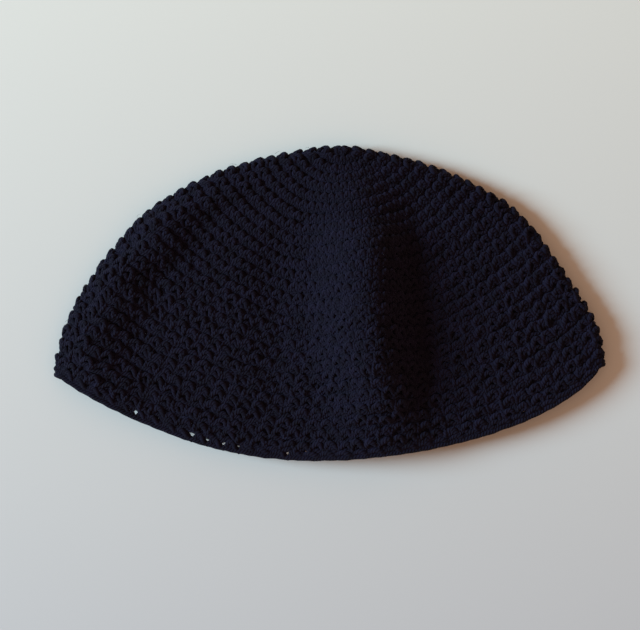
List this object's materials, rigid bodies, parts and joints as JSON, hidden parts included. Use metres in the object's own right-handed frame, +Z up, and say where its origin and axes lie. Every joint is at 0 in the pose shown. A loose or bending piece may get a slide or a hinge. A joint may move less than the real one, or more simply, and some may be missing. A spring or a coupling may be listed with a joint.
{
  "type": "crocheted kippah skullcap, folded",
  "caption": "Deep crocheted skullcap lying folded in half, one thick hollow cloth dome with a tall soft ridge and a plain edging round its open rim.",
  "frame": {"origin": "middle of the folded cap's footprint, on the surface it lies on", "axes": "+X across the fold to the right-hand corner, +Y from the rim to the crown, +Z up from the surface"},
  "size_m": [0.2398, 0.1364, 0.0272],
  "materials": {
    "yarn": "matte crocheted cotton",
    "edging_yarn": "matte crocheted cotton, close border round"
  },
  "bodies": {
    "root": {"crown": "yarn", "edging": "edging_yarn"}
  },
  "joints": []
}
